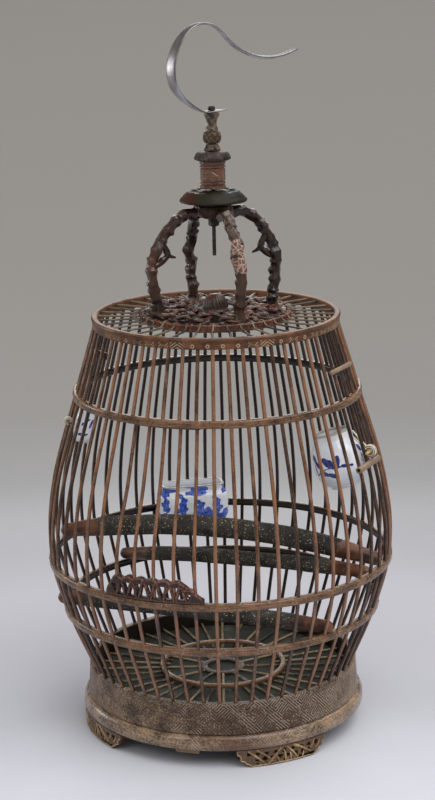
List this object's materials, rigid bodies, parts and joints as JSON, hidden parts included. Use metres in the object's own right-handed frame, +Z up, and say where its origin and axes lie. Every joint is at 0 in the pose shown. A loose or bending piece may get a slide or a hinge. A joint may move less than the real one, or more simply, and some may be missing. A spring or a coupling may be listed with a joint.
{
  "type": "bird cage",
  "caption": "Round bamboo bird cage with bulging bars, engraved base ring, sliding door, perches, porcelain pots, openwork crown and a swivelling steel hook.",
  "frame": {"origin": "middle of the cage's footprint, on the surface that the four feet stand on", "axes": "+Z up along the cage's axis to the hook, -Y towards the front, where the door is left of the middle"},
  "size_m": [0.2998, 0.3025, 0.6073],
  "materials": {
    "bamboo_bar": "red-brown lacquered bamboo, satin",
    "hoop_wood": "brown lacquered hoops, worn on the edges",
    "base_wood": "khaki brown engraved wood, dusty",
    "tray_board": "dark green-grey painted board, matte",
    "carved_wood": "dark red-brown carved wood, satin",
    "dark_wood": "near-black lacquered wood, semi-gloss",
    "old_brass": "aged brass, dull",
    "iron_rod": "dark iron",
    "polished_steel": "polished steel",
    "porcelain": "glazed white porcelain, glossy",
    "perch_branch": "gritty grey-black branch",
    "pale_bamboo": "pale bamboo, satin"
  },
  "bodies": {
    "cage": {"base_band": "base_wood", "button_peg": "base_wood", "canopy_dish": "dark_wood", "cap_disc": "dark_wood", "carved_foot_1": "base_wood", "carved_foot_2": "base_wood", "carved_foot_3": "base_wood", "carved_foot_4": "base_wood", "cloud_bracket": "dark_wood", "crown_leg_1": "dark_wood", "crown_leg_2": "dark_wood", "crown_leg_3": "dark_wood", "crown_leg_4": "dark_wood", "crown_plate": "carved_wood", "faceted_bead": "old_brass", "finial": "old_brass", "floor_ring": "base_wood", "floor_splints": "base_wood", "floor_tray": "tray_board", "foot_ring": "base_wood", "hoop_lower": "hoop_wood", "hoop_upper": "hoop_wood", "leg_hub": "dark_wood", "neck_collar": "old_brass", "neck_drum": "carved_wood", "perch_lower": "perch_branch", "perch_middle": "perch_branch", "perch_upper": "perch_branch", "petal_ring": "carved_wood", "pot_back": "porcelain", "pot_left": "porcelain", "pot_right": "porcelain", "pot_right_stay": "pale_bamboo", "rod_nut": "iron_rod", "spare_peg": "bamboo_bar", "swivel_rod": "iron_rod", "top_boss": "carved_wood", "top_ring": "hoop_wood", "top_splints": "hoop_wood", "wall_sector_1": "bamboo_bar", "wall_sector_2": "bamboo_bar", "wall_sector_3": "bamboo_bar", "wall_sector_4": "bamboo_bar", "wall_sector_5": "bamboo_bar", "wall_sector_6": "bamboo_bar", "wall_sector_7": "bamboo_bar", "wall_sector_8": "bamboo_bar", "wall_sector_9": "bamboo_bar"},
    "hook": {"hook": "polished_steel"},
    "door": {"door_bars": "bamboo_bar", "door_plaque": "carved_wood"},
    "pin_right": {"pot_right_pin": "pale_bamboo"},
    "pin_left": {"pot_left_pin": "bamboo_bar"},
    "pin_back": {"pot_back_pin": "bamboo_bar"},
    "button": {"turn_button": "base_wood"}
  },
  "joints": [
    {"name": "hook_swivel", "type": "hinge", "parent": "cage", "child": "hook", "pos_m": [0, 0, 0.5337], "axis": [0, 0, 1], "continuous": true},
    {"name": "door_slide", "type": "slide", "parent": "cage", "child": "door", "axis": [0.0993, 0.25, 0.9631], "range_m": [0, 0.046]},
    {"name": "right_pin_slide", "type": "slide", "parent": "cage", "child": "pin_right", "axis": [0.3692, 0.9293, 0], "range_m": [0, 0.026]},
    {"name": "left_pin_slide", "type": "slide", "parent": "cage", "child": "pin_left", "axis": [0.2022, -0.9793, 0], "range_m": [0, 0.024]},
    {"name": "back_pin_slide", "type": "slide", "parent": "cage", "child": "pin_back", "axis": [-0.9793, -0.2022, 0], "range_m": [0, 0.03]},
    {"name": "button_turn", "type": "hinge", "parent": "cage", "child": "button", "pos_m": [-0.03646, -0.11222, 0.0143], "axis": [0, 0, 1], "range_deg": [0, 95]}
  ]
}
